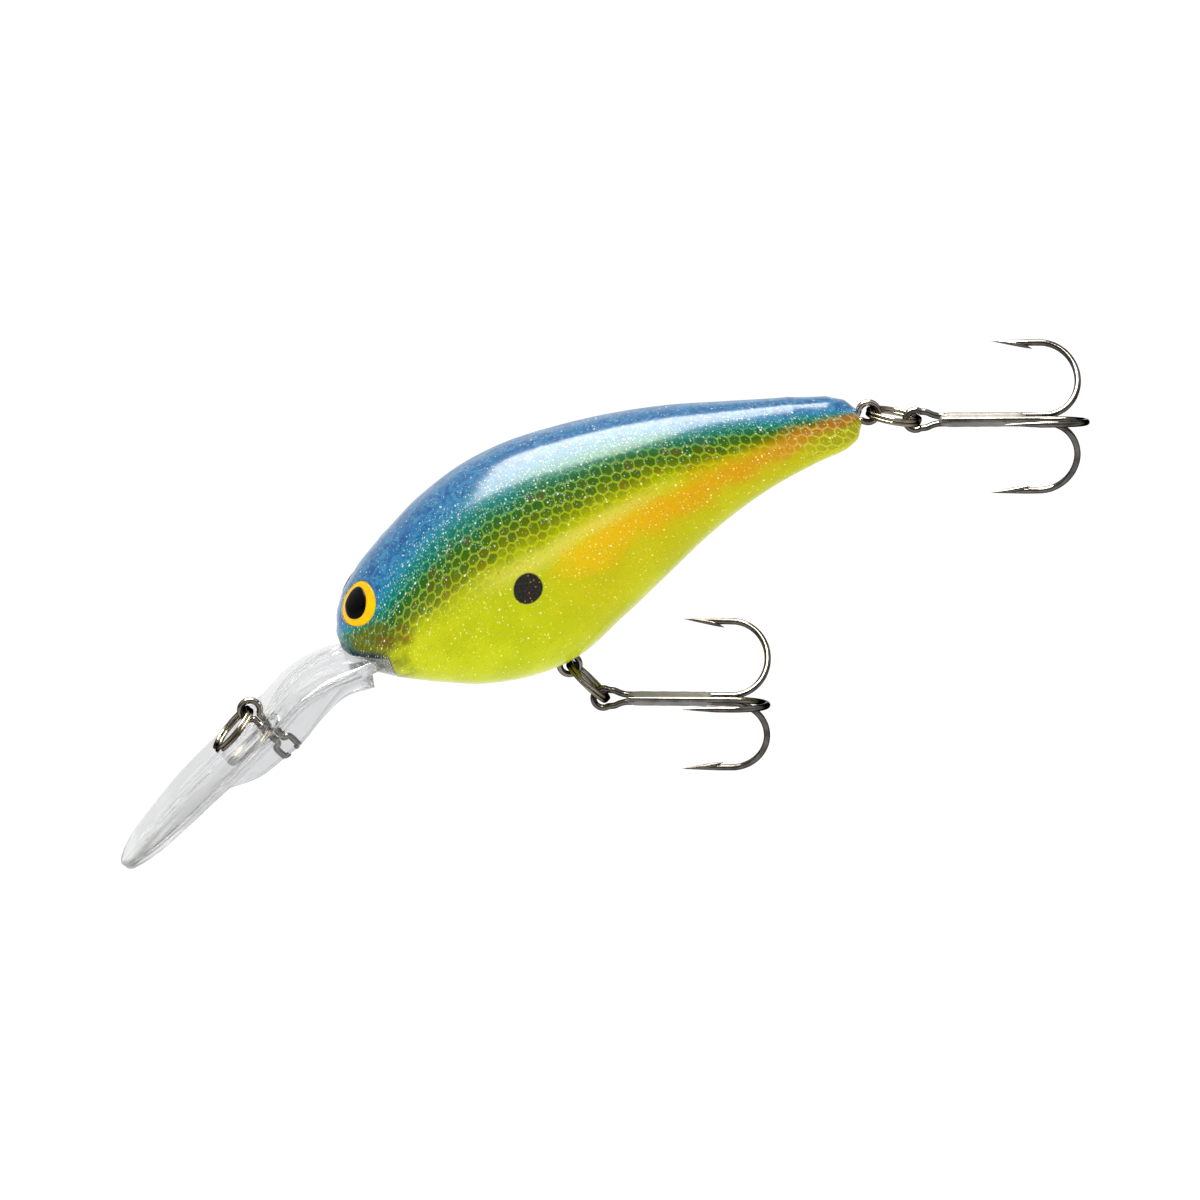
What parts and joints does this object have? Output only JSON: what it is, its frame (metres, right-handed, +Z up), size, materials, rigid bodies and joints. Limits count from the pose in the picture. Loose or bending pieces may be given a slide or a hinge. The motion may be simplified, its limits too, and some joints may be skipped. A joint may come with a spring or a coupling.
{
  "type": "deep-diving crankbait lure",
  "caption": "Deep-diving fishing plug with a hollow body, clear diving lip, line tie, split rings and free-swinging treble hooks.",
  "frame": {"origin": "centre of the line tie's eye, where the line is clipped on", "axes": "+X towards the tail, +Y to the lure's left, +Z up, with the lure in its nose-down running attitude"},
  "size_m": [0.1336, 0.0266, 0.0705],
  "materials": {
    "painted_shell": "airbrushed blue, green and chartreuse with glitter under gloss clear coat",
    "clear_lip": "water-clear polycarbonate",
    "bright_wire": "bright stainless wire",
    "black_nickel": "black nickel plated hook wire",
    "iris_enamel": "gloss golden yellow",
    "pupil_enamel": "gloss black",
    "cast_lead": "dull cast metal"
  },
  "bodies": {
    "lure": {"body_shell_left": "painted_shell", "body_shell_right": "painted_shell", "diving_lip": "clear_lip", "line_tie_wire": "bright_wire", "belly_hanger_wire": "bright_wire", "tail_hanger_wire": "bright_wire", "eye_iris_left": "iris_enamel", "eye_iris_right": "iris_enamel", "eye_pupil_left": "pupil_enamel", "eye_pupil_right": "pupil_enamel", "ballast_weight": "cast_lead"},
    "line_ring": {"line_tie_split_ring": "bright_wire"},
    "belly_ring": {"belly_split_ring": "bright_wire"},
    "belly_treble": {"belly_treble_double_hook": "black_nickel", "belly_treble_single_hook": "black_nickel"},
    "tail_ring": {"tail_split_ring": "bright_wire"},
    "tail_treble": {"tail_treble_double_hook": "black_nickel", "tail_treble_single_hook": "black_nickel"},
    "rattle_1": {"rattle_ball_1": "bright_wire"},
    "rattle_2": {"rattle_ball_2": "bright_wire"},
    "rattle_3": {"rattle_ball_3": "bright_wire"}
  },
  "joints": [
    {"name": "line_ring_swing", "type": "hinge", "parent": "lure", "child": "line_ring", "pos_m": [0, 0, 0], "axis": [0, 1, 0], "range_deg": [0, 160]},
    {"name": "belly_ring_swing", "type": "hinge", "parent": "lure", "child": "belly_ring", "pos_m": [0.0443, 0, 0.0053], "axis": [0.6947, 0, 0.7193], "range_deg": [-30, 30]},
    {"name": "belly_treble_swing", "type": "hinge", "parent": "belly_ring", "child": "belly_treble", "pos_m": [0.04948, 0, 0.0003], "axis": [0, 1, 0], "range_deg": [-20, 110]},
    {"name": "tail_ring_swing", "type": "hinge", "parent": "lure", "child": "tail_ring", "pos_m": [0.0856, 0, 0.0402], "axis": [0.1736, 0, 0.9848], "range_deg": [-30, 30]},
    {"name": "tail_treble_swing", "type": "hinge", "parent": "tail_ring", "child": "tail_treble", "pos_m": [0.09269, 0, 0.03895], "axis": [0, 1, 0], "range_deg": [-80, 95]},
    {"name": "rattle_slide_1", "type": "slide", "parent": "lure", "child": "rattle_1", "axis": [0.9455, 0, 0.3256], "range_m": [0, 0.009]},
    {"name": "rattle_slide_2", "type": "slide", "parent": "lure", "child": "rattle_2", "axis": [0.9455, 0, 0.3256], "range_m": [0, 0.009]},
    {"name": "rattle_slide_3", "type": "slide", "parent": "lure", "child": "rattle_3", "axis": [0.9455, 0, 0.3256], "range_m": [0, 0.009]}
  ],
  "couplings": [
    {"joint": "rattle_slide_2", "follows": "rattle_slide_1", "ratio": 1},
    {"joint": "rattle_slide_3", "follows": "rattle_slide_1", "ratio": 1}
  ]
}
